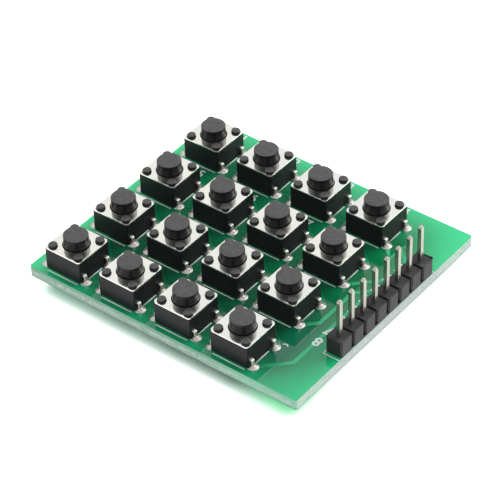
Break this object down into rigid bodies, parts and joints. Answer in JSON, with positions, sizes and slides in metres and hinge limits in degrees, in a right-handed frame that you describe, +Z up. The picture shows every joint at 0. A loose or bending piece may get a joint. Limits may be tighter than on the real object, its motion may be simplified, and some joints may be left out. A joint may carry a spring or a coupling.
{
  "type": "matrix keypad",
  "caption": "Push-button matrix keypad: a grid of square tactile switches on a green circuit board, with one row of upright square header pins along an edge.",
  "frame": {"origin": "under the centre of the board, at the level of the key leads' tips that it stands on", "axes": "+X along the front edge towards the pin header, +Y to the back edge, +Z up through the buttons"},
  "size_m": [0.0436, 0.0392, 0.0116],
  "materials": {
    "board": "glossy green solder mask over glass fibre",
    "bases": "moulded black, satin",
    "buttons": "moulded black, fine matt",
    "plates": "stamped, satin",
    "domes": "spring steel",
    "terminals": "silver plated, tinned at the leads",
    "housing": "moulded black, matt",
    "pins": "tinned"
  },
  "bodies": {
    "keypad_board": {"circuit_board": "board", "header_housing": "housing", "header_pins": "pins", "terminals_row_1": "terminals", "snap_domes_row_1": "domes", "terminals_row_2": "terminals", "snap_domes_row_2": "domes", "terminals_row_3": "terminals", "snap_domes_row_3": "domes", "terminals_row_4": "terminals", "snap_domes_row_4": "domes", "key_base_1": "bases", "cover_plate_1": "plates", "key_base_2": "bases", "cover_plate_2": "plates", "key_base_3": "bases", "cover_plate_3": "plates", "key_base_4": "bases", "cover_plate_4": "plates", "key_base_5": "bases", "cover_plate_5": "plates", "key_base_6": "bases", "cover_plate_6": "plates", "key_base_7": "bases", "cover_plate_7": "plates", "key_base_8": "bases", "cover_plate_8": "plates", "key_base_9": "bases", "cover_plate_9": "plates", "key_base_10": "bases", "cover_plate_10": "plates", "key_base_11": "bases", "cover_plate_11": "plates", "key_base_12": "bases", "cover_plate_12": "plates", "key_base_13": "bases", "cover_plate_13": "plates", "key_base_14": "bases", "cover_plate_14": "plates", "key_base_15": "bases", "cover_plate_15": "plates", "key_base_16": "bases", "cover_plate_16": "plates"},
    "key_1": {"button_1": "buttons"},
    "key_2": {"button_2": "buttons"},
    "key_3": {"button_3": "buttons"},
    "key_4": {"button_4": "buttons"},
    "key_5": {"button_5": "buttons"},
    "key_6": {"button_6": "buttons"},
    "key_7": {"button_7": "buttons"},
    "key_8": {"button_8": "buttons"},
    "key_9": {"button_9": "buttons"},
    "key_10": {"button_10": "buttons"},
    "key_11": {"button_11": "buttons"},
    "key_12": {"button_12": "buttons"},
    "key_13": {"button_13": "buttons"},
    "key_14": {"button_14": "buttons"},
    "key_15": {"button_15": "buttons"},
    "key_16": {"button_16": "buttons"}
  },
  "joints": [
    {"name": "press_1", "type": "slide", "parent": "keypad_board", "child": "key_1", "axis": [0, 0, -1], "range_m": [0, 0.00025], "stiffness_N_per_m": 6400, "deforming": ["snap_domes_row_1"]},
    {"name": "press_2", "type": "slide", "parent": "keypad_board", "child": "key_2", "axis": [0, 0, -1], "range_m": [0, 0.00025], "stiffness_N_per_m": 6400, "deforming": ["snap_domes_row_1"]},
    {"name": "press_3", "type": "slide", "parent": "keypad_board", "child": "key_3", "axis": [0, 0, -1], "range_m": [0, 0.00025], "stiffness_N_per_m": 6400, "deforming": ["snap_domes_row_1"]},
    {"name": "press_4", "type": "slide", "parent": "keypad_board", "child": "key_4", "axis": [0, 0, -1], "range_m": [0, 0.00025], "stiffness_N_per_m": 6400, "deforming": ["snap_domes_row_1"]},
    {"name": "press_5", "type": "slide", "parent": "keypad_board", "child": "key_5", "axis": [0, 0, -1], "range_m": [0, 0.00025], "stiffness_N_per_m": 6400, "deforming": ["snap_domes_row_2"]},
    {"name": "press_6", "type": "slide", "parent": "keypad_board", "child": "key_6", "axis": [0, 0, -1], "range_m": [0, 0.00025], "stiffness_N_per_m": 6400, "deforming": ["snap_domes_row_2"]},
    {"name": "press_7", "type": "slide", "parent": "keypad_board", "child": "key_7", "axis": [0, 0, -1], "range_m": [0, 0.00025], "stiffness_N_per_m": 6400, "deforming": ["snap_domes_row_2"]},
    {"name": "press_8", "type": "slide", "parent": "keypad_board", "child": "key_8", "axis": [0, 0, -1], "range_m": [0, 0.00025], "stiffness_N_per_m": 6400, "deforming": ["snap_domes_row_2"]},
    {"name": "press_9", "type": "slide", "parent": "keypad_board", "child": "key_9", "axis": [0, 0, -1], "range_m": [0, 0.00025], "stiffness_N_per_m": 6400, "deforming": ["snap_domes_row_3"]},
    {"name": "press_10", "type": "slide", "parent": "keypad_board", "child": "key_10", "axis": [0, 0, -1], "range_m": [0, 0.00025], "stiffness_N_per_m": 6400, "deforming": ["snap_domes_row_3"]},
    {"name": "press_11", "type": "slide", "parent": "keypad_board", "child": "key_11", "axis": [0, 0, -1], "range_m": [0, 0.00025], "stiffness_N_per_m": 6400, "deforming": ["snap_domes_row_3"]},
    {"name": "press_12", "type": "slide", "parent": "keypad_board", "child": "key_12", "axis": [0, 0, -1], "range_m": [0, 0.00025], "stiffness_N_per_m": 6400, "deforming": ["snap_domes_row_3"]},
    {"name": "press_13", "type": "slide", "parent": "keypad_board", "child": "key_13", "axis": [0, 0, -1], "range_m": [0, 0.00025], "stiffness_N_per_m": 6400, "deforming": ["snap_domes_row_4"]},
    {"name": "press_14", "type": "slide", "parent": "keypad_board", "child": "key_14", "axis": [0, 0, -1], "range_m": [0, 0.00025], "stiffness_N_per_m": 6400, "deforming": ["snap_domes_row_4"]},
    {"name": "press_15", "type": "slide", "parent": "keypad_board", "child": "key_15", "axis": [0, 0, -1], "range_m": [0, 0.00025], "stiffness_N_per_m": 6400, "deforming": ["snap_domes_row_4"]},
    {"name": "press_16", "type": "slide", "parent": "keypad_board", "child": "key_16", "axis": [0, 0, -1], "range_m": [0, 0.00025], "stiffness_N_per_m": 6400, "deforming": ["snap_domes_row_4"]}
  ]
}
